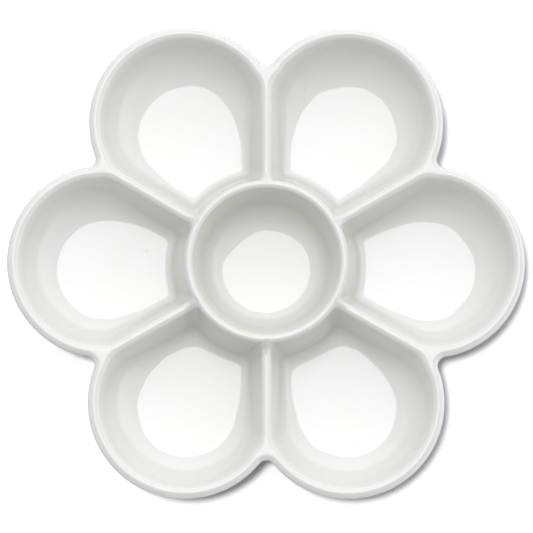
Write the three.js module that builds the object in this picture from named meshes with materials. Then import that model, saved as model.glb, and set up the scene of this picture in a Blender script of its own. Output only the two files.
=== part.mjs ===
// Flower-shaped mixing palette: six petal wells round a raised centre well, slip-cast
// and glazed as one porcelain body.  Millimetres, +Z up.  The origin is the middle of
// the resting plane, and one petal points along +X.

import * as THREE from 'three';
import { mergeVertices } from 'three/addons/utils/BufferGeometryUtils.js';

const degrees = (angle) => (angle * Math.PI) / 180;

// ---- Driving dimensions, plan view ----
const PETAL_COUNT = 6;
const HALF_PETAL = Math.PI / PETAL_COUNT; // half of the angle that one petal takes up
const PETAL_CENTRE = 54; // palette centre to the centre of a petal's round end
const PETAL_RADIUS = 32; // round end of a petal, measured on the widest outline
const NOTCH_FILLET = 3; // rounding of the outline between two petals
const RING_RADIUS = 25.9; // crest line of the ring round the centre well
const BASIN_CENTRE = 47.7; // palette centre to the deepest point of a petal well

// ---- Driving dimensions, heights above the resting plane ----
const RING_TOP = 25;
const RIM_TOP = 23.5;
const RIDGE_LOW = 22.5; // ridge crest just outside the ring
const FLOOR_LOW = 6.5;
const RECESS_TOP = 1.2; // glazed underside, inside the foot ring

// ---- Walls: radius of the rounded crest, and of the scoop from the wall into the floor ----
const RIM_WALL = { lip: 1.9, scoop: 12 };
const RIDGE_WALL = { lip: 1.75, scoop: 3.7 };
const RING_WALL = { lip: 1.6, scoop: 3 };
const CENTRE_WALL = { lip: 1.5, scoop: 7.2 };
const WALL_SLOPE = degrees(75.5);
const RIM_TO_RIDGE = [degrees(30), degrees(130)]; // swing off the petal's tip, seen from
const RIDGE_TO_RING = [degrees(140), degrees(148)]; // the basin, over which walls change
const PETAL_DISH_RADIUS = 180; // the floors are very shallow dishes
const CENTRE_DISH_RADIUS = 115;
const NOTCH_BLEND = 5.6; // width over which ridge and rim round off into each other
const RING_BLEND = 0.3; // the same for ridge and ring, as a share of the distance to them
const RING_STEP = { start: 0.6, end: 3 }; // fall from the ring's crest to the ridge's crest

// ---- Outside of the body, as insets from the widest outline ----
const SKIRT = { slope: 1.6, inset: 13, top: 0.9 }; // outer wall down to the foot's rounding
const FOOT = { outer: 14, inner: 17.5, recess: 18.5 };

// ---- Mesh density ----
const RING_STEPS = 4; // along the ring, for half a petal
const RIDGE_STEPS = 5;
const NOTCH_STEPS = 2;
const SIDE_STEPS = 5; // round end, from the notch to half a petal's angle off its tip
const TIP_STEPS = 3; // and on to the tip
const LIP_STEPS = 3;
const SCOOP_STEPS = 4;
const FLOOR_STEPS = 2;
const SKIRT_STEPS = 4;

const lerp = THREE.MathUtils.lerp;
const polar = (radius, angle) => new THREE.Vector2(
  radius * Math.cos(angle),
  radius * Math.sin(angle),
);

// ---- Plan outline ----
const petalCentre = new THREE.Vector2(PETAL_CENTRE, 0);

// The notch fillet is outside the body, on the line between two petals, and touches
// both round ends.
const filletReach = PETAL_RADIUS + NOTCH_FILLET;
const alongNotch = PETAL_CENTRE * Math.cos(HALF_PETAL);
const acrossNotch = PETAL_CENTRE * Math.sin(HALF_PETAL);
const filletCentreRadius = alongNotch + Math.sqrt(filletReach ** 2 - acrossNotch ** 2);
const filletCentre = polar(filletCentreRadius, HALF_PETAL);
const arcEndAngle = filletCentre.clone().sub(petalCentre).angle();
const notchCrestRadius = filletCentreRadius - NOTCH_FILLET - RIM_WALL.lip;

// Distance inside the rim's crest line, for a point in the half petal with y >= 0.
function rimDistance(point) {
  const fromCentre = point.clone().sub(petalCentre);
  if (fromCentre.angle() < arcEndAngle) {
    return PETAL_RADIUS - RIM_WALL.lip - fromCentre.length();
  }
  return point.distanceTo(filletCentre) - NOTCH_FILLET - RIM_WALL.lip;
}

function ridgeDistance(point) {
  return point.x * Math.sin(HALF_PETAL) - point.y * Math.cos(HALF_PETAL);
}

function ringDistance(point) {
  return point.length() - RING_RADIUS;
}

// The smaller of two distances, rounded off where they differ by less than the width.
function blendedDistance(a, b, width) {
  const overlap = Math.max(1 - Math.abs(a - b) / width, 0);
  return Math.min(a, b) - (width * overlap ** 2) / 4;
}

// How far a point lies inside the crests that surround its petal well.  Ridge and rim
// share a rounded corner, but a ridge meets the ring sharply, rounding further down.
function wellInset(point) {
  const outer = blendedDistance(rimDistance(point), ridgeDistance(point), NOTCH_BLEND);
  const ring = ringDistance(point);
  const width = Math.max((RING_BLEND * (outer + ring)) / 2, Number.EPSILON);
  return blendedDistance(outer, ring, width);
}

// ---- Heights ----
// Crest height: level round the rim, falling gently along a ridge, with the ring proud.
function crestHeight(radius) {
  const alongRidge = THREE.MathUtils.smoothstep(radius, RING_RADIUS, notchCrestRadius);
  const offRing = Math.abs(radius - RING_RADIUS);
  const fall = THREE.MathUtils.smootherstep(offRing, RING_STEP.start, RING_STEP.end);
  return lerp(RING_TOP, lerp(RIDGE_LOW, RIM_TOP, alongRidge), fall);
}

function floorHeight(fromDeepest, dishRadius) {
  return FLOOR_LOW + fromDeepest ** 2 / (2 * dishRadius);
}

// One wall from crest to floor as { inset, rise } steps; rise is 1 at the crest and 0 on
// the floor.  The crest is round, the wall straight, and a round scoop meets the floor.
function wallProfile(wall, drop) {
  const curves = wall.lip + wall.scoop;
  const straight = drop - curves * (1 - Math.cos(WALL_SLOPE));
  const reach = curves * Math.sin(WALL_SLOPE) + straight / Math.tan(WALL_SLOPE);
  const steps = [];
  for (let i = 0; i <= LIP_STEPS; i += 1) {
    const slope = (WALL_SLOPE * i) / LIP_STEPS;
    const down = wall.lip * (1 - Math.cos(slope));
    steps.push({ inset: wall.lip * Math.sin(slope), rise: 1 - down / drop });
  }
  for (let i = SCOOP_STEPS; i >= 0; i -= 1) {
    const slope = (WALL_SLOPE * i) / SCOOP_STEPS;
    const up = wall.scoop * (1 - Math.cos(slope));
    steps.push({ inset: reach - wall.scoop * Math.sin(slope), rise: up / drop });
  }
  return steps;
}

// ---- Petal wells ----
// Crest points round half a petal well, from the ring's middle to the petal's tip.
function halfPetalCrest() {
  const crest = [];
  for (let i = 0; i < RING_STEPS; i += 1) {
    crest.push(polar(RING_RADIUS, (HALF_PETAL * i) / RING_STEPS));
  }
  for (let i = 0; i < RIDGE_STEPS; i += 1) {
    crest.push(polar(lerp(RING_RADIUS, notchCrestRadius, i / RIDGE_STEPS), HALF_PETAL));
  }
  crest.push(...rimCrest().map(({ crestPoint }) => crestPoint));
  return crest;
}

// The rim's crest over half a petal, from the notch to the tip, with the outward normal.
function rimCrest() {
  const points = [];
  const filletStart = HALF_PETAL + Math.PI;
  const filletEnd = arcEndAngle + Math.PI;
  for (let i = 0; i < NOTCH_STEPS; i += 1) {
    const angle = lerp(filletStart, filletEnd, i / NOTCH_STEPS);
    const crestPoint = filletCentre.clone().add(polar(NOTCH_FILLET + RIM_WALL.lip, angle));
    points.push({ crestPoint, outward: polar(-1, angle) });
  }
  for (let i = 0; i <= SIDE_STEPS + TIP_STEPS; i += 1) {
    const angle = i < SIDE_STEPS
      ? lerp(arcEndAngle, HALF_PETAL, i / SIDE_STEPS)
      : lerp(HALF_PETAL, 0, (i - SIDE_STEPS) / TIP_STEPS);
    const crestPoint = petalCentre.clone().add(polar(PETAL_RADIUS - RIM_WALL.lip, angle));
    points.push({ crestPoint, outward: polar(1, angle) });
  }
  return points;
}

// The wall changes smoothly from the ring's through the ridge's to the rim's as the
// direction from the basin's centre swings from the ring to the petal's tip.
function wallTowards(direction) {
  const swing = Math.abs(Math.atan2(direction.y, direction.x));
  const toRidge = THREE.MathUtils.smoothstep(swing, ...RIM_TO_RIDGE);
  const toRing = THREE.MathUtils.smoothstep(swing, ...RIDGE_TO_RING);
  const mix = (key) => lerp(
    lerp(RIM_WALL[key], RIDGE_WALL[key], toRidge),
    RING_WALL[key],
    toRing,
  );
  return { lip: mix('lip'), scoop: mix('scoop') };
}

// Where, on the way from the crest point in to the basin's centre, the inset is reached.
function pointAtInset(crestPoint, basin, inset) {
  let outside = 0;
  let inside = 1;
  for (let i = 0; i < 40; i += 1) {
    const middle = (outside + inside) / 2;
    const enough = wellInset(crestPoint.clone().lerp(basin, middle)) > inset;
    [outside, inside] = enough ? [outside, middle] : [middle, inside];
  }
  return crestPoint.clone().lerp(basin, inside);
}

// One line of surface points from a crest point down the wall and across the floor.
function wellLine(crestPoint) {
  const basin = new THREE.Vector2(BASIN_CENTRE, 0);
  const wall = wallTowards(crestPoint.clone().sub(basin));
  const line = wallProfile(wall, RIM_TOP - FLOOR_LOW).map(({ inset, rise }) => {
    const point = inset > 0 ? pointAtInset(crestPoint, basin, inset) : crestPoint.clone();
    const floor = floorHeight(point.distanceTo(basin), PETAL_DISH_RADIUS);
    return new THREE.Vector3(point.x, point.y, lerp(floor, crestHeight(point.length()), rise));
  });
  const floorEdge = line[line.length - 1];
  for (let i = 1; i < FLOOR_STEPS; i += 1) {
    const point = new THREE.Vector2(floorEdge.x, floorEdge.y).lerp(basin, i / FLOOR_STEPS);
    const floor = floorHeight(point.distanceTo(basin), PETAL_DISH_RADIUS);
    line.push(new THREE.Vector3(point.x, point.y, floor));
  }
  line.push(new THREE.Vector3(basin.x, basin.y, FLOOR_LOW));
  return line;
}

const mirrored = (point) => new THREE.Vector3(point.x, -point.y, point.z);

// ---- Triangles ----
// Joins neighbouring lines of points, each as long as the last, into a strip of surface.
function surfaceBetween(lines) {
  const corners = [];
  for (let i = 1; i < lines.length; i += 1) {
    for (let j = 1; j < lines[i].length; j += 1) {
      const [a, b] = [lines[i - 1][j - 1], lines[i][j - 1]];
      const [c, d] = [lines[i][j], lines[i - 1][j]];
      corners.push(a, c, b, a, d, c);
    }
  }
  return corners;
}

function petalWell() {
  const half = halfPetalCrest().map(wellLine);
  const otherHalf = half.map((line) => line.map(mirrored)).reverse();
  return surfaceBetween([...half, ...otherHalf.slice(1)]);
}

// ---- Outside: the rim's outer lip, the skirt, the foot ring and the recess ----
function outsideLine({ crestPoint, outward }) {
  const outline = crestPoint.clone().addScaledVector(outward, RIM_WALL.lip);
  const at = (inset, z) => {
    const point = outline.clone().addScaledVector(outward, -inset);
    return new THREE.Vector3(point.x, point.y, z);
  };
  const line = [];
  for (let i = 0; i <= LIP_STEPS; i += 1) {
    const turn = (Math.PI * i) / (2 * LIP_STEPS);
    const lip = RIM_WALL.lip;
    line.push(at(lip * (1 - Math.sin(turn)), RIM_TOP - lip * (1 - Math.cos(turn))));
  }
  const widest = RIM_TOP - RIM_WALL.lip;
  const skirt = new THREE.QuadraticBezierCurve(
    new THREE.Vector2(0, widest),
    new THREE.Vector2(SKIRT.slope, SKIRT.top),
    new THREE.Vector2(SKIRT.inset, SKIRT.top),
  );
  line.push(...skirt.getPoints(SKIRT_STEPS).slice(1).map(({ x, y }) => at(x, y)));
  line.push(at(FOOT.outer, 0), at(FOOT.inner, 0), at(FOOT.recess, RECESS_TOP));
  line.push(new THREE.Vector3(0, 0, RECESS_TOP));
  return line;
}

function petalOutside() {
  const half = rimCrest().map(outsideLine);
  const otherHalf = half.map((line) => line.map(mirrored)).reverse();
  return surfaceBetween([...half, ...otherHalf.slice(1)].reverse());
}

// ---- Centre well ----
function centreWell() {
  const profile = wallProfile(CENTRE_WALL, RING_TOP - FLOOR_LOW).map(({ inset, rise }) => {
    const radius = RING_RADIUS - inset;
    return new THREE.Vector2(
      radius,
      lerp(floorHeight(radius, CENTRE_DISH_RADIUS), RING_TOP, rise),
    );
  });
  const floorEdge = profile[profile.length - 1].x;
  for (let i = 1; i <= FLOOR_STEPS; i += 1) {
    const radius = lerp(floorEdge, 0, i / FLOOR_STEPS);
    profile.push(new THREE.Vector2(radius, floorHeight(radius, CENTRE_DISH_RADIUS)));
  }
  const lines = [];
  for (let i = 0; i <= 2 * RING_STEPS; i += 1) {
    const angle = lerp(-HALF_PETAL, HALF_PETAL, i / (2 * RING_STEPS));
    lines.push(profile.map(({ x, y }) => {
      const point = polar(x, angle);
      return new THREE.Vector3(point.x, point.y, y);
    }));
  }
  return surfaceBetween(lines.reverse());
}

// ---- The body: one sixth of the surface, repeated round the middle and welded ----
function paletteBody() {
  const sixth = [...petalWell(), ...centreWell(), ...petalOutside()];
  const positions = [];
  const upward = new THREE.Vector3(0, 0, 1);
  for (let i = 0; i < PETAL_COUNT; i += 1) {
    sixth.forEach((corner) => {
      positions.push(...corner.clone().applyAxisAngle(upward, 2 * HALF_PETAL * i));
    });
  }
  const soup = new THREE.BufferGeometry();
  soup.setAttribute('position', new THREE.Float32BufferAttribute(positions, 3));
  const welded = mergeVertices(soup, 1e-3);
  const kept = [];
  for (let i = 0; i < welded.index.count; i += 3) {
    const [a, b, c] = [0, 1, 2].map((k) => welded.index.getX(i + k));
    if (a !== b && b !== c && c !== a) {
      kept.push(a, b, c);
    }
  }
  welded.setIndex(kept);
  welded.computeVertexNormals();
  return welded;
}

const glazedPorcelain = new THREE.MeshStandardMaterial({
  color: 0xf1f1ee,
  roughness: 0.08,
  metalness: 0,
});

const body = new THREE.Mesh(paletteBody(), glazedPorcelain);
body.name = 'palette_body';

const palette = new THREE.Group();
palette.add(body);

export default palette;
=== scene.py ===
"""Looks for the flower-shaped mixing palette: the fine glazed surface, the table and the studio.

Metres, +Z up.  Points in plan are complex numbers, x + y j, so that a turn about the
palette's middle is a multiplication.  One petal points along +X.
"""

import math

import bmesh
import bpy
import numpy as np
from mathutils import Matrix, Vector


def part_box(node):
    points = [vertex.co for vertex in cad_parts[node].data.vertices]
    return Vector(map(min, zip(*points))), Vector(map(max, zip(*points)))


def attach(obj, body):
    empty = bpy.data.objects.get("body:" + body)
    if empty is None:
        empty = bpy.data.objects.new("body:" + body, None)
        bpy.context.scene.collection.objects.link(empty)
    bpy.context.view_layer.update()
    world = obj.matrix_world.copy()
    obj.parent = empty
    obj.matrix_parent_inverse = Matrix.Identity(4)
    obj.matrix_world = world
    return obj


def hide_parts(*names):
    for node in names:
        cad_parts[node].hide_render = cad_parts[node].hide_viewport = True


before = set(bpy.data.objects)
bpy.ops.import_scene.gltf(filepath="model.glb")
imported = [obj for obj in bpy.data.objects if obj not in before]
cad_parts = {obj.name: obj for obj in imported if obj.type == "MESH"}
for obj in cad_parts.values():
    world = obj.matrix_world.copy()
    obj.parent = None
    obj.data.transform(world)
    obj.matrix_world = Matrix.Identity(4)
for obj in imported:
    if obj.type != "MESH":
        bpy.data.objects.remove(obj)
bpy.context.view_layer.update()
body_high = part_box("palette_body")[1]

MM = 0.001

# ---- Plan ----
PETALS = 6
HALF_PETAL = math.pi / PETALS
PETAL_RADIUS = 32 * MM
PETAL_CENTRE = body_high.x - PETAL_RADIUS
NOTCH_FILLET = 3 * MM
RING_RADIUS = 25.9 * MM
BASIN_CENTRE = 47.7 * MM

# ---- Heights ----
RING_TOP = body_high.z
RIM_TOP = RING_TOP - 1.5 * MM
RIDGE_LOW = RING_TOP - 2.5 * MM
FLOOR_LOW = 6.5 * MM
RECESS_TOP = 1.2 * MM

# ---- Walls: radius of the rounded crest, and of the scoop from the wall into the floor ----
RIM_WALL = np.array([1.9, 12]) * MM
RIDGE_WALL = np.array([1.75, 3.7]) * MM
RING_WALL = np.array([1.6, 3]) * MM
CENTRE_WALL = np.array([1.5, 7.2]) * MM
RIM_LIP = RIM_WALL[0]
WALL_SLOPE = math.radians(75.5)
RIM_TO_RIDGE = (math.radians(30), math.radians(130))  # in direction from BASIN_CENTRE
RIDGE_TO_RING = (math.radians(140), math.radians(148))
PETAL_DISH = 180 * MM
CENTRE_DISH = 115 * MM
NOTCH_BLEND = 5.6 * MM
RING_BLEND = 0.3  # of the inset itself, so the corners at the ring are rounder lower down
RING_STEP = (0.6 * MM, 3 * MM)

# ---- Outside, as insets from the widest outline ----
SKIRT_SLOPE = 1.6 * MM
SKIRT_INSET = 13 * MM
SKIRT_TOP = 0.9 * MM
FOOT_OUTER = 14 * MM
FOOT_INNER = 17.5 * MM
RECESS_INSET = 18.5 * MM

# ---- Mesh density, in steps ----
RING_STEPS = 16
RIDGE_STEPS = 20
NOTCH_STEPS = 6
SIDE_STEPS = 24
TIP_STEPS = 12
LIP_STEPS = 8
WALL_STEPS = 6
SCOOP_STEPS = 18
FLOOR_STEPS = 10
SKIRT_STEPS = 16
FOOT_STEPS = 6
BASE_STEPS = 8
BISECTIONS = 32


def lerp(a, b, t):
    return a + (b - a) * t


def smooth(x, start, end):
    """0 before start, 1 after end, with level ends."""
    t = np.clip((x - start) / (end - start), 0, 1)
    return t * t * (3 - 2 * t)


def smoother(x, start, end):
    """The same with level curvature too."""
    t = np.clip((x - start) / (end - start), 0, 1)
    return t ** 3 * (t * (6 * t - 15) + 10)


def turn(angle):
    return np.exp(1j * angle)


# ---- Plan outline ----
fillet_reach = PETAL_RADIUS + NOTCH_FILLET
along_notch = PETAL_CENTRE * math.cos(HALF_PETAL)
across_notch = PETAL_CENTRE * math.sin(HALF_PETAL)
fillet_radius = along_notch + math.sqrt(fillet_reach ** 2 - across_notch ** 2)
fillet_centre = fillet_radius * turn(HALF_PETAL)
arc_end = np.angle(fillet_centre - PETAL_CENTRE)
notch_crest_radius = fillet_radius - NOTCH_FILLET - RIM_LIP


def rim_inset(point):
    """Distance inside the rim's crest, in the half petal with y >= 0."""
    from_centre = point - PETAL_CENTRE
    round_end = PETAL_RADIUS - RIM_LIP - np.abs(from_centre)
    notch = np.abs(point - fillet_centre) - NOTCH_FILLET - RIM_LIP
    return np.where(np.angle(from_centre) < arc_end, round_end, notch)


def blended(a, b, width):
    """The smaller of two insets, rounded off where they differ by less than the width."""
    overlap = np.maximum(1 - np.abs(a - b) / width, 0)
    return np.minimum(a, b) - width * overlap ** 2 / 4


def well_inset(point):
    """How far a point lies inside the crests round its petal well."""
    ridge = -(point * turn(-HALF_PETAL)).imag
    ring = np.abs(point) - RING_RADIUS
    outer = blended(rim_inset(point), ridge, NOTCH_BLEND)
    width = np.maximum(RING_BLEND * (outer + ring) / 2, np.finfo(float).eps)
    return blended(outer, ring, width)


def crest_height(radius):
    """Level round the rim, falling gently along a ridge, with the ring proud."""
    ridge = lerp(RIDGE_LOW, RIM_TOP, smooth(radius, RING_RADIUS, notch_crest_radius))
    return lerp(RING_TOP, ridge, smoother(np.abs(radius - RING_RADIUS), *RING_STEP))


def wall_profile(lip, scoop, drop):
    """Insets and rises (1 at the crest, 0 on the floor) down a wall, for an array of walls.

    The crest is round, the wall straight, and a round scoop meets the floor.
    """
    lip_slope = WALL_SLOPE * np.arange(LIP_STEPS + 1) / LIP_STEPS
    lip_x = lip * np.sin(lip_slope)
    lip_y = lip * (1 - np.cos(lip_slope))
    scoop_slope = WALL_SLOPE * np.arange(SCOOP_STEPS + 1)[::-1] / SCOOP_STEPS
    straight = drop - (lip + scoop) * (1 - math.cos(WALL_SLOPE))
    reach = (lip + scoop) * math.sin(WALL_SLOPE) + straight / math.tan(WALL_SLOPE)
    scoop_x = reach - scoop * np.sin(scoop_slope)
    scoop_y = drop - scoop * (1 - np.cos(scoop_slope))
    along = np.arange(1, WALL_STEPS) / WALL_STEPS
    wall_x = lerp(lip_x[..., -1:], scoop_x[..., :1], along)
    wall_y = lerp(lip_y[..., -1:], scoop_y[..., :1], along)
    inset = np.concatenate([lip_x, wall_x, scoop_x], axis=-1)
    rise = 1 - np.concatenate([lip_y, wall_y, scoop_y], axis=-1) / drop
    return inset, rise


# ---- Crest lines ----
def rim_crest():
    """Crest points of half a petal's rim from the notch to the tip, and their outward normals."""
    notch_angle = np.linspace(HALF_PETAL + math.pi, arc_end + math.pi, NOTCH_STEPS, endpoint=False)
    side_angle = np.linspace(arc_end, HALF_PETAL, SIDE_STEPS, endpoint=False)
    tip_angle = np.linspace(HALF_PETAL, 0, TIP_STEPS + 1)
    round_angle = np.concatenate([side_angle, tip_angle])
    notch = fillet_centre + (NOTCH_FILLET + RIM_LIP) * turn(notch_angle)
    round_end = PETAL_CENTRE + (PETAL_RADIUS - RIM_LIP) * turn(round_angle)
    crest = np.concatenate([notch, round_end])
    outward = np.concatenate([-turn(notch_angle), turn(round_angle)])
    return crest, outward


def half_well_crest():
    """Crest points round half a petal well, from the ring's middle to the petal's tip."""
    ring = RING_RADIUS * turn(HALF_PETAL * np.arange(RING_STEPS) / RING_STEPS)
    along = np.arange(RIDGE_STEPS) / RIDGE_STEPS
    ridge = lerp(RING_RADIUS, notch_crest_radius, along) * turn(HALF_PETAL)
    return np.concatenate([ring, ridge, rim_crest()[0]])


# ---- Surfaces, each a grid of lines of points: plan, height and, in a well, rise ----
def petal_well():
    crest = half_well_crest()
    swing = np.abs(np.angle(crest - BASIN_CENTRE))[:, None]
    wall = lerp(RIM_WALL, RIDGE_WALL, smooth(swing, *RIM_TO_RIDGE))
    wall = lerp(wall, RING_WALL, smooth(swing, *RIDGE_TO_RING))
    inset, rise = wall_profile(wall[:, :1], wall[:, 1:], RIM_TOP - FLOOR_LOW)
    start = crest[:, None]
    outside = np.zeros(inset.shape)
    inside = np.ones(inset.shape)
    for _ in range(BISECTIONS):
        middle = (outside + inside) / 2
        enough = well_inset(lerp(start, BASIN_CENTRE, middle)) > inset
        inside = np.where(enough, middle, inside)
        outside = np.where(enough, outside, middle)
    inside[:, 0] = 0
    plan = lerp(start, BASIN_CENTRE, inside)
    floor_steps = np.arange(1, FLOOR_STEPS + 1) / FLOOR_STEPS
    plan = np.concatenate([plan, lerp(plan[:, -1:], BASIN_CENTRE, floor_steps)], axis=1)
    rise = np.concatenate([rise, np.zeros((len(crest), FLOOR_STEPS))], axis=1)
    floor = FLOOR_LOW + np.abs(plan - BASIN_CENTRE) ** 2 / (2 * PETAL_DISH)
    return plan, lerp(floor, crest_height(np.abs(plan)), rise), rise


def mirrored_loop(grid):
    """A half petal's lines, then their mirror images back again, without the shared ones."""
    flipped = np.conj(grid) if np.iscomplexobj(grid) else grid
    return np.concatenate([grid, flipped[-2:0:-1]])


def centre_well():
    inset, rise = wall_profile(CENTRE_WALL[:1], CENTRE_WALL[1:], RING_TOP - FLOOR_LOW)
    radius = RING_RADIUS - inset
    floor_radius = lerp(radius[-1], 0, np.arange(1, FLOOR_STEPS + 1) / FLOOR_STEPS)
    radius = np.concatenate([radius, floor_radius])
    rise = np.concatenate([rise, np.zeros(FLOOR_STEPS)])
    height = lerp(FLOOR_LOW + radius ** 2 / (2 * CENTRE_DISH), RING_TOP, rise)
    lines = 2 * PETALS * RING_STEPS
    angle = 2 * math.pi * np.arange(lines)[::-1] / lines
    plan = radius * turn(angle)[:, None]
    return plan, np.tile(height, (lines, 1)), np.tile(rise, (lines, 1))


def outside_profile():
    """Insets from the widest outline, and heights, from the rim's crest down and under."""
    angle = np.linspace(0, math.pi / 2, LIP_STEPS + 1)
    lip_inset = RIM_LIP * (1 - np.sin(angle))
    lip_height = RIM_TOP - RIM_LIP * (1 - np.cos(angle))
    t = np.arange(1, SKIRT_STEPS + 1) / SKIRT_STEPS
    skirt_inset = 2 * SKIRT_SLOPE * t * (1 - t) + SKIRT_INSET * t ** 2
    skirt_height = lerp(lip_height[-1], SKIRT_TOP, 1 - (1 - t) ** 2)
    down = np.linspace(SKIRT_INSET, FOOT_OUTER, FOOT_STEPS + 1)[1:]
    up = np.linspace(FOOT_INNER, RECESS_INSET, FOOT_STEPS + 1)
    down_height = SKIRT_TOP * (1 - smooth(down, SKIRT_INSET, FOOT_OUTER))
    up_height = RECESS_TOP * smooth(up, FOOT_INNER, RECESS_INSET)
    inset = np.concatenate([lip_inset, skirt_inset, down, up])
    return inset, np.concatenate([lip_height, skirt_height, down_height, up_height])


def outside():
    """All round the palette: one closed loop of lines from the crest to under the middle."""
    crest, outward = rim_crest()
    inset, height = outside_profile()
    plan = crest[:, None] + outward[:, None] * (RIM_LIP - inset)
    base = lerp(plan[:, -1:], 0, np.arange(1, BASE_STEPS + 1) / BASE_STEPS)
    half = np.concatenate([plan, base], axis=1)
    petal = np.concatenate([half, np.conj(half[-2:0:-1])])
    plan = np.concatenate([petal * turn(-2 * HALF_PETAL * k) for k in range(PETALS)])
    height = np.concatenate([height, np.full(BASE_STEPS, RECESS_TOP)])
    return plan, np.tile(height, (len(plan), 1))


# ---- The casting's slight unevenness ----
WAVES = 7
GOLDEN_ANGLE = math.pi * (3 - math.sqrt(5))
WAVE_LENGTHS = (17 * MM, 46 * MM)
WAVE_HEIGHT = 0.0011  # of the wave's length


def waviness(plan):
    """A few long, low waves in all directions, as left by hand-finishing the mould."""
    height = np.zeros(plan.shape)
    for i in range(WAVES):
        length = lerp(*WAVE_LENGTHS, i / (WAVES - 1))
        along = (plan * turn(-i * GOLDEN_ANGLE)).real
        height += WAVE_HEIGHT * length * np.sin(2 * math.pi * along / length + i ** 2)
    return height


# ---- The body's mesh ----
WELD_DISTANCE = 0.001 * MM
BARE_BELOW = 0.25 * MM  # the foot is wiped free of glaze up to here
# Pooled glaze and painted shade on the well walls: full round the middle well, fading to 0.3 of
# that at the petals' tips.
POOL_AND_SHADE_FADE = (RING_RADIUS, BASIN_CENTRE + PETAL_RADIUS)
POOL_AND_SHADE_AT_TIP = 0.3
SCOOP_START = LIP_STEPS + WALL_STEPS
POOL_AND_SHADE_END = SCOOP_START + SCOOP_STEPS + 4  # steps down a well, a little way onto its floor


class Skin:
    """The body's surface, gathered as closed loops of lines that weld where they meet."""

    def __init__(self):
        self.count = 0
        self.points = []
        self.faces = []
        self.traits = {"thin_glaze_and_crest_shade": [], "pooled_glaze_and_wall_shade": [], "bare_clay": []}

    def add(self, plan, height, pool_and_shade):
        lines, steps = plan.shape
        step = np.arange(steps)
        # Thin glaze and painted shade on the crests: darkest at the top of each lip, fading over
        # its rounding.
        thin_and_shade = np.tile(1 - smooth(step, 0, LIP_STEPS), (lines, 1))
        bare = 1 - smooth(height, BARE_BELOW / 2, BARE_BELOW)
        self.points.append(np.stack([plan.real, plan.imag, height], axis=-1).reshape(-1, 3))
        for trait, values in zip(self.traits.values(), (thin_and_shade, pool_and_shade, bare)):
            trait.append(values.ravel())
        here = self.count + np.arange(lines)[:, None] * steps + step[:-1]
        beside = self.count + (np.arange(lines)[:, None] + 1) % lines * steps + step[:-1]
        self.faces.append(np.stack([here, beside, beside + 1, here + 1], axis=-1).reshape(-1, 4))
        self.count += plan.size

    def add_well(self, plan, height, rise):
        step = np.arange(plan.shape[1])
        # Painted shade, partly pooled glaze: the walls from below the crest to a little way onto
        # the floor.
        wall = smooth(step, 0, LIP_STEPS) * (1 - smooth(step, SCOOP_START, POOL_AND_SHADE_END))
        inner = lerp(1, POOL_AND_SHADE_AT_TIP, smooth(np.abs(plan), *POOL_AND_SHADE_FADE))
        self.add(plan, height + (1 - rise) * waviness(plan), wall * inner)

    def mesh(self, name):
        mesh = bpy.data.meshes.new(name)
        mesh.from_pydata(np.concatenate(self.points), [], np.concatenate(self.faces))
        for trait, values in self.traits.items():
            layer = mesh.attributes.new(trait, "FLOAT", "POINT")
            layer.data.foreach_set("value", np.concatenate(values))
        welded = bmesh.new()
        welded.from_mesh(mesh)
        bmesh.ops.remove_doubles(welded, verts=welded.verts, dist=WELD_DISTANCE)
        bmesh.ops.recalc_face_normals(welded, faces=welded.faces)
        for face in welded.faces:
            face.smooth = True
        welded.to_mesh(mesh)
        welded.free()
        return mesh


def palette():
    skin = Skin()
    turns = [turn(2 * HALF_PETAL * k) for k in range(PETALS)]
    plan, height, rise = map(mirrored_loop, petal_well())
    for petal_turn in turns:
        skin.add_well(plan * petal_turn, height, rise)
    skin.add_well(*centre_well())
    plan, height = outside()
    skin.add(plan, height, np.zeros(plan.shape))
    return bpy.data.objects.new("glazed_palette", skin.mesh("glazed_palette"))


# ---- Materials ----
def shader(name, build):
    """A new node material: build adds nodes to its tree and links them to the shader."""
    material = bpy.data.materials.new(name)
    material.use_nodes = True
    tree = material.node_tree
    build(tree, tree.nodes["Principled BSDF"])
    return material


def feed(tree, sockets, values):
    """Links each value that is another node's output to its socket, and sets the others."""
    for socket, value in zip(sockets, values):
        if isinstance(value, bpy.types.NodeSocket):
            tree.links.new(value, socket)
        else:
            socket.default_value = value


def add_node(tree, kind, settings=(), **inputs):
    """A new node, with its settings and its named inputs."""
    node = tree.nodes.new(kind)
    for key, value in dict(settings).items():
        setattr(node, key, value)
    feed(tree, [node.inputs[key] for key in inputs], inputs.values())
    return node


def noise(tree, place, scale, detail=2.0):
    node = add_node(tree, "ShaderNodeTexNoise", Vector=place, Scale=scale, Detail=detail)
    return node.outputs["Fac"]


def mixed(tree, factor, a, b):
    """Colour a turning into colour b as factor goes from 0 to 1."""
    node = add_node(tree, "ShaderNodeMix", {"data_type": "RGBA"})
    feed(tree, (node.inputs[0], *node.inputs[6:8]), (factor, a, b))
    return node.outputs[2]


def between(tree, factor, a, b):
    """The same for numbers."""
    node = add_node(tree, "ShaderNodeMix", {"data_type": "FLOAT"})
    feed(tree, (node.inputs[0], *node.inputs[2:4]), (factor, a, b))
    return node.outputs[0]


def ranged(tree, value, start, end, low=0.0, high=1.0):
    """From low to high, smoothly, as the value goes from start to end."""
    node = add_node(tree, "ShaderNodeMapRange", {"interpolation_type": "SMOOTHSTEP"})
    feed(tree, node.inputs, (value, start, end, low, high))
    return node.outputs["Result"]


def calculated(tree, operation, a, b):
    node = add_node(tree, "ShaderNodeMath", {"operation": operation})
    feed(tree, node.inputs, (a, b))
    return node.outputs[0]


def product(tree, a, b):
    return calculated(tree, "MULTIPLY", a, b)


def trait(tree, name):
    return add_node(tree, "ShaderNodeAttribute", {"attribute_name": name}).outputs["Fac"]


def bump(tree, height, distance, settings=(), **inputs):
    node = add_node(tree, "ShaderNodeBump", settings, Height=height, Distance=distance, **inputs)
    return node.outputs[0]


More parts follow.
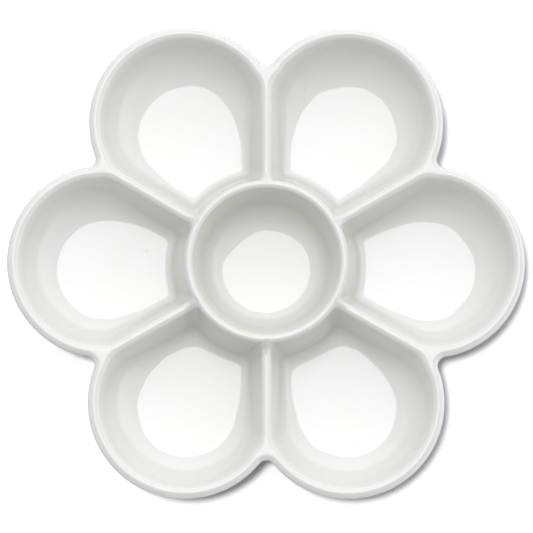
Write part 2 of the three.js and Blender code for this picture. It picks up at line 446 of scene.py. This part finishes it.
GLAZE = (0.78, 0.774, 0.754, 1)
GLAZE_COOLER = (0.783, 0.780, 0.765, 1)
# Pooled glaze and painted shade, darker on the well walls.
GLAZE_POOLED_AND_SHADED = (0.645, 0.639, 0.602, 1)
# Thin glaze and painted shade, darker on the crests.
GLAZE_THIN_AND_SHADED = (0.655, 0.648, 0.630, 1)
BARE_CLAY = (0.76, 0.73, 0.68, 1)
IRON_SPECK = (0.30, 0.27, 0.23, 1)
GLAZE_ROUGHNESS = (0.006, 0.012)
BARE_ROUGHNESS = 0.8
SPECK_CELLS = 300.0  # per metre
SPECK_CHOICE = (0.955, 0.96)  # of the cells' random values: only those above have a speck
SPECK_SIZE = (0.02, 0.15)  # of a cell: full at the first distance, gone at the second
SPECK_STRENGTH = 0.25
PEEL_HEIGHT = 0.006 * MM
PIT_DEPTH = 0.03 * MM
GRIT_HEIGHT = 0.12 * MM
TABLE = (0.40, 0.402, 0.407, 1)
TABLE_LIGHTER = (0.415, 0.417, 0.422, 1)
TABLE_GRAIN_HEIGHT = 0.05 * MM
TABLE_GLOW = 0.02


def glazed_porcelain(tree, surface):
    place = add_node(tree, "ShaderNodeTexCoord").outputs["Object"]
    bare = trait(tree, "bare_clay")
    drift = ranged(tree, noise(tree, place, 32), 0.35, 0.65)
    colour = mixed(tree, drift, GLAZE, GLAZE_COOLER)
    # Painted shade, partly pooled glaze: the well walls darker, most round the middle.
    colour = mixed(tree, trait(tree, "pooled_glaze_and_wall_shade"), colour, GLAZE_POOLED_AND_SHADED)
    # Painted shade, partly thin glaze: the rounded crests darker.
    colour = mixed(tree, trait(tree, "thin_glaze_and_crest_shade"), colour, GLAZE_THIN_AND_SHADED)

    # Iron specks, each in a pinhole: a few chosen cells, where the surface meets their centre.
    cells = add_node(tree, "ShaderNodeTexVoronoi", Vector=place, Scale=SPECK_CELLS)
    chosen = add_node(tree, "ShaderNodeSeparateColor", Color=cells.outputs["Color"]).outputs["Red"]
    near = ranged(tree, cells.outputs["Distance"], *SPECK_SIZE, 1.0, 0.0)
    speck = product(tree, near, ranged(tree, chosen, *SPECK_CHOICE))
    colour = mixed(tree, product(tree, speck, SPECK_STRENGTH), colour, IRON_SPECK)
    colour = mixed(tree, bare, colour, BARE_CLAY)
    tree.links.new(colour, surface.inputs["Base Color"])

    # The glaze is glass-smooth, with a faint orange peel; bare clay is matt and gritty.
    glossy = ranged(tree, noise(tree, place, 90), 0.3, 0.7, *GLAZE_ROUGHNESS)
    tree.links.new(between(tree, bare, glossy, BARE_ROUGHNESS), surface.inputs["Roughness"])
    peel = bump(tree, noise(tree, place, 420), PEEL_HEIGHT, Strength=0.35)
    pits = bump(tree, speck, PIT_DEPTH, {"invert": True}, Normal=peel)
    grit_height = product(tree, noise(tree, place, 2600, 4), bare)
    grit = bump(tree, grit_height, GRIT_HEIGHT, Normal=pits)
    tree.links.new(grit, surface.inputs["Normal"])

    # The same all over; a little light goes into the glaze and the clay under it.
    surface.inputs["IOR"].default_value = 1.65
    surface.inputs["Subsurface Weight"].default_value = 0.08
    surface.inputs["Subsurface Radius"].default_value = (1.0, 0.95, 0.85)
    surface.inputs["Subsurface Scale"].default_value = 1.2 * MM


def matt_table(tree, surface):
    place = add_node(tree, "ShaderNodeTexCoord").outputs["Object"]
    mottle = ranged(tree, noise(tree, place, 9, 4), 0.3, 0.7)
    colour = mixed(tree, mottle, TABLE, TABLE_LIGHTER)
    tree.links.new(colour, surface.inputs["Base Color"])
    surface.inputs["Roughness"].default_value = 0.9
    surface.inputs["Specular IOR Level"].default_value = 0.1
    surface.inputs["Emission Color"].default_value = (1, 1, 1, 1)
    surface.inputs["Emission Strength"].default_value = TABLE_GLOW
    grain = bump(tree, noise(tree, place, 900, 3), TABLE_GRAIN_HEIGHT, Strength=0.2)
    tree.links.new(grain, surface.inputs["Normal"])


# ---- Studio ----
TABLE_HALF = 6.0
SOFTBOX_CENTRE = Vector((-60, 785, 2400)) * MM
SOFTBOX_SIZE = (1900 * MM, 1940 * MM)
SOFTBOX_RADIANCE = 2.95
LIGHT_COLOUR = (0.975, 0.986, 1.0)
BACKDROP = 1.02
GLOWS = (  # azimuth from +X and height in degrees, and strength
    (0, 90, 0.05),
    (0, 12, 1.58),
    (90, 15, 1.45),
    (90, 50, 0.4),
    (180, 30, 0.78),
    (270, 10, 0.6),
)
GLOW_FOCUS = 3.0
TABLE_WASH = 5.75  # W/m2
TABLE_WASH_FALL = Vector((2.6, 0.7, -21.4))
TABLE_WASH_SPREAD = math.radians(7)


def table():
    corners = [(x * TABLE_HALF, y * TABLE_HALF, 0) for x, y in ((-1, -1), (1, -1), (1, 1), (-1, 1))]
    mesh = bpy.data.meshes.new("table_top")
    mesh.from_pydata(corners, [], [range(4)])
    mesh.materials.append(shader("matt_table", matt_table))
    top = bpy.data.objects.new("table_top", mesh)
    top.visible_glossy = False
    return top


def softbox():
    light = bpy.data.lights.new("softbox", "AREA")
    light.shape = "ELLIPSE"
    light.size, light.size_y = SOFTBOX_SIZE
    area = math.pi / 4 * light.size * light.size_y
    light.energy = SOFTBOX_RADIANCE * math.pi * area
    light.color = LIGHT_COLOUR
    lamp = bpy.data.objects.new("softbox", light)
    lamp.location = SOFTBOX_CENTRE
    lamp.visible_camera = False
    return lamp


def table_wash(top):
    """Lights the table alone, nearly from overhead, so that it goes white up to a thin shadow."""
    light = bpy.data.lights.new("table_wash", "SUN")
    light.energy = TABLE_WASH
    light.angle = TABLE_WASH_SPREAD
    lamp = bpy.data.objects.new("table_wash", light)
    lamp.rotation_mode = "QUATERNION"
    lamp.rotation_quaternion = TABLE_WASH_FALL.to_track_quat("-Z", "Y")
    receivers = bpy.data.collections.new("table_wash_receivers")
    receivers.objects.link(top)
    lamp.light_linking.receiver_collection = receivers
    return lamp


def glow(tree, direction, azimuth, height, strength):
    """A broad soft glow from one side, as from a lit white wall."""
    level = math.cos(math.radians(height))
    axis = (
        level * math.cos(math.radians(azimuth)),
        level * math.sin(math.radians(azimuth)),
        math.sin(math.radians(height)),
    )
    towards = add_node(tree, "ShaderNodeVectorMath", {"operation": "DOT_PRODUCT"})
    feed(tree, towards.inputs, (direction, axis))
    facing = calculated(tree, "MAXIMUM", towards.outputs["Value"], 0.0)
    return product(tree, calculated(tree, "POWER", facing, GLOW_FOCUS), strength)


def studio_world():
    """The room's glow lights the palette, and the camera sees a plain white backdrop instead."""
    world = bpy.data.worlds.new("studio")
    world.use_nodes = True
    tree = world.node_tree
    direction = add_node(tree, "ShaderNodeTexCoord").outputs["Generated"]
    total = 0.0
    for side in GLOWS:
        total = calculated(tree, "ADD", total, glow(tree, direction, *side))
    seen = add_node(tree, "ShaderNodeLightPath").outputs["Is Camera Ray"]
    background = tree.nodes["Background"]
    background.inputs["Color"].default_value = (*LIGHT_COLOUR, 1)
    tree.links.new(between(tree, seen, total, BACKDROP), background.inputs["Strength"])
    return world


# ---- Camera: high above, a little left of the palette's middle and nearer the viewer ----
CAMERA_AIM = Vector((0, -1.7 * MM, RIM_TOP))
CAMERA_PLACE = CAMERA_AIM + Vector((-25.5, -184, 1500)) * MM
FRAME_WIDTH = 176.7 * MM


def camera():
    data = bpy.data.cameras.new("camera")
    sight = CAMERA_AIM - CAMERA_PLACE
    data.lens = data.sensor_width * sight.length / FRAME_WIDTH
    data.clip_start = 10 * MM
    right = sight.cross(Vector((0, 1, 0))).normalized()
    above = right.cross(sight).normalized()
    eye = bpy.data.objects.new("camera", data)
    turned = Matrix((right, above, -sight.normalized())).transposed()
    eye.matrix_world = Matrix.Translation(CAMERA_PLACE) @ turned.to_4x4()
    return eye


def show(thing):
    bpy.context.scene.collection.objects.link(thing)
    return thing


# ---- The scene ----
glazed = show(palette())
glazed.data.materials.append(shader("glazed_porcelain", glazed_porcelain))
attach(glazed, "root")
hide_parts("palette_body")

top = show(table())
show(softbox())
show(table_wash(top))
bpy.context.scene.world = studio_world()
bpy.context.scene.camera = show(camera())
bpy.context.scene.view_settings.view_transform = "Standard"
